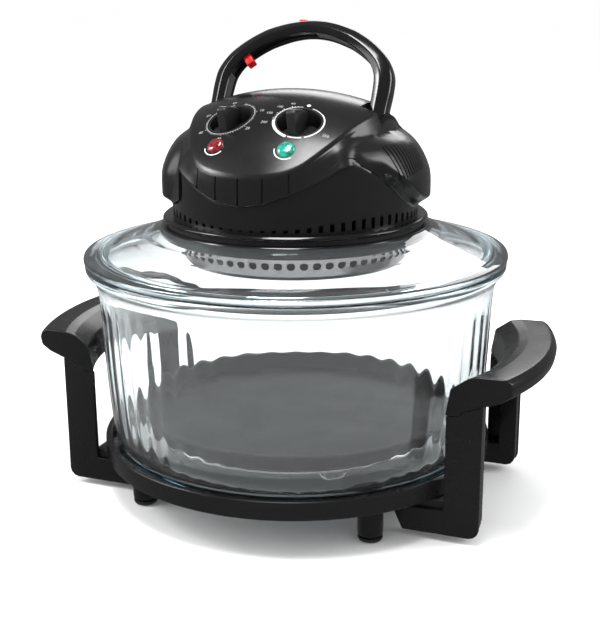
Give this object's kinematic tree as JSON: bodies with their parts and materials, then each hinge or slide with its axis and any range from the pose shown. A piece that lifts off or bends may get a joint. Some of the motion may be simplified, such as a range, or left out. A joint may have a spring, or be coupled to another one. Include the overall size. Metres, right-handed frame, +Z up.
{
  "type": "halogen oven",
  "caption": "Tabletop halogen oven: round glass bowl in a legged stand, lift-off glass lid with motor head, dials and folding handle.",
  "frame": {"origin": "on the table, on the axis of the glass bowl, at the bottom of the feet", "axes": "+Z up, control panel towards -Y, side grips on +X and -X; the lid and its head sit turned 3.7 degrees clockwise seen from above"},
  "size_m": [0.4158, 0.335, 0.371],
  "materials": {
    "black_plastic": "satin moulded black plastic",
    "head_plastic": "smooth dark grey plastic, satin gloss",
    "rubber": "matt black rubber",
    "screw_steel": "zinc plated steel",
    "bowl_glass": "clear heatproof glass",
    "lid_glass": "clear heatproof glass",
    "rack_chrome": "plated wire",
    "pan_enamel": "dark non-stick coating",
    "guard_steel": "perforated stainless steel",
    "reflector_aluminium": "bright aluminium sheet",
    "quartz": "satin quartz tube",
    "ceramic": "unglazed ceramic",
    "bracket_steel": "plain pressed steel",
    "inner_plastic": "moulded plastic",
    "contact_brass": "brass contact",
    "dial_black": "gloss black plastic",
    "red_jewel": "clear red lens",
    "green_jewel": "clear green lens",
    "red_plastic": "gloss red plastic",
    "spring_steel": "spring wire",
    "plunger_white": "white acetal"
  },
  "bodies": {
    "stand": {"stand_ring": "black_plastic", "leg_front_left": "black_plastic", "leg_front_right": "black_plastic", "leg_rear_left": "black_plastic", "leg_rear_right": "black_plastic", "grip_left": "black_plastic", "grip_right": "black_plastic", "feet": "black_plastic", "foot_pads": "rubber", "stand_screws": "screw_steel"},
    "bowl": {"glass_bowl": "bowl_glass"},
    "rack": {"wire_rack": "rack_chrome"},
    "pan": {"baking_pan": "pan_enamel"},
    "lid": {"glass_lid": "lid_glass", "lower_flange": "head_plastic", "lid_gasket": "rubber", "head_base": "head_plastic", "guard_ring": "guard_steel", "guard_grille": "guard_steel", "reflector": "reflector_aluminium", "heat_shield": "reflector_aluminium", "heater_tube": "quartz", "heater_caps": "ceramic", "heater_clips": "bracket_steel", "fan_motor": "bracket_steel", "motor_bracket": "bracket_steel", "terminal_block": "inner_plastic", "thermal_cutout": "bracket_steel", "flange_screws": "screw_steel", "panel_cover": "head_plastic", "head_housing": "head_plastic", "inlet_socket": "inner_plastic", "inlet_pins": "contact_brass", "timer_dish": "dial_black", "temperature_dish": "dial_black", "timer_unit": "inner_plastic", "temperature_unit": "inner_plastic", "power_lens": "red_jewel", "heat_lens": "green_jewel", "power_lamp": "inner_plastic", "heat_lamp": "inner_plastic", "pivot_pins": "screw_steel", "safety_switch": "inner_plastic"},
    "fan": {"fan_shaft": "screw_steel", "circulation_fan": "reflector_aluminium", "cooling_fan": "reflector_aluminium"},
    "handle": {"carry_handle": "head_plastic", "lock_spring": "spring_steel", "button_spring": "spring_steel"},
    "lever": {"lock_lever": "red_plastic"},
    "button": {"release_button": "red_plastic"},
    "timer_dial": {"timer_knob": "dial_black", "timer_shaft": "dial_black"},
    "temperature_dial": {"temperature_knob": "dial_black", "temperature_shaft": "dial_black"},
    "plunger": {"switch_plunger": "plunger_white"}
  },
  "joints": [
    {"name": "bowl_lift", "type": "slide", "parent": "stand", "child": "bowl", "axis": [0, 0, 1], "range_m": [0, 0.08]},
    {"name": "rack_lift", "type": "slide", "parent": "bowl", "child": "rack", "axis": [0, 0, 1], "range_m": [0, 0.06]},
    {"name": "pan_lift", "type": "slide", "parent": "rack", "child": "pan", "axis": [0, 0, 1], "range_m": [0, 0.04]},
    {"name": "lid_lift", "type": "slide", "parent": "bowl", "child": "lid", "axis": [0, 0, 1], "range_m": [0, 0.09]},
    {"name": "fan_spin", "type": "hinge", "parent": "lid", "child": "fan", "pos_m": [0, 0, 0.2], "axis": [0, 0, 1], "continuous": true},
    {"name": "handle_fold", "type": "hinge", "parent": "lid", "child": "handle", "pos_m": [-0.00037, -0.00579, 0.286], "axis": [-0.9979, 0.0645, 0], "range_deg": [-27.8, 32]},
    {"name": "lever_press", "type": "slide", "parent": "handle", "child": "lever", "axis": [-0.6067, 0.402, 0.6858], "range_m": [0, 0.0015], "stiffness_N_per_m": 400, "springref_m": -0.001},
    {"name": "button_press", "type": "slide", "parent": "handle", "child": "button", "axis": [-0.0301, -0.4659, -0.8843], "range_m": [0, 0.0012], "stiffness_N_per_m": 400, "springref_m": -0.001},
    {"name": "timer_turn", "type": "hinge", "parent": "lid", "child": "timer_dial", "pos_m": [-0.03144, -0.05228, 0.30119], "axis": [0.0156, 0.2414, -0.9703], "range_deg": [0, 300]},
    {"name": "temperature_turn", "type": "hinge", "parent": "lid", "child": "temperature_dial", "pos_m": [0.02444, -0.05589, 0.30119], "axis": [0.0156, 0.2414, -0.9703], "range_deg": [0, 270]},
    {"name": "switch_press", "type": "slide", "parent": "lid", "child": "plunger", "axis": [0, 0, -1], "range_m": [-0.0007, 0.0008]}
  ],
  "couplings": [
    {"joint": "switch_press", "follows": "handle_fold", "m_per_rad": 0.0014324}
  ]
}
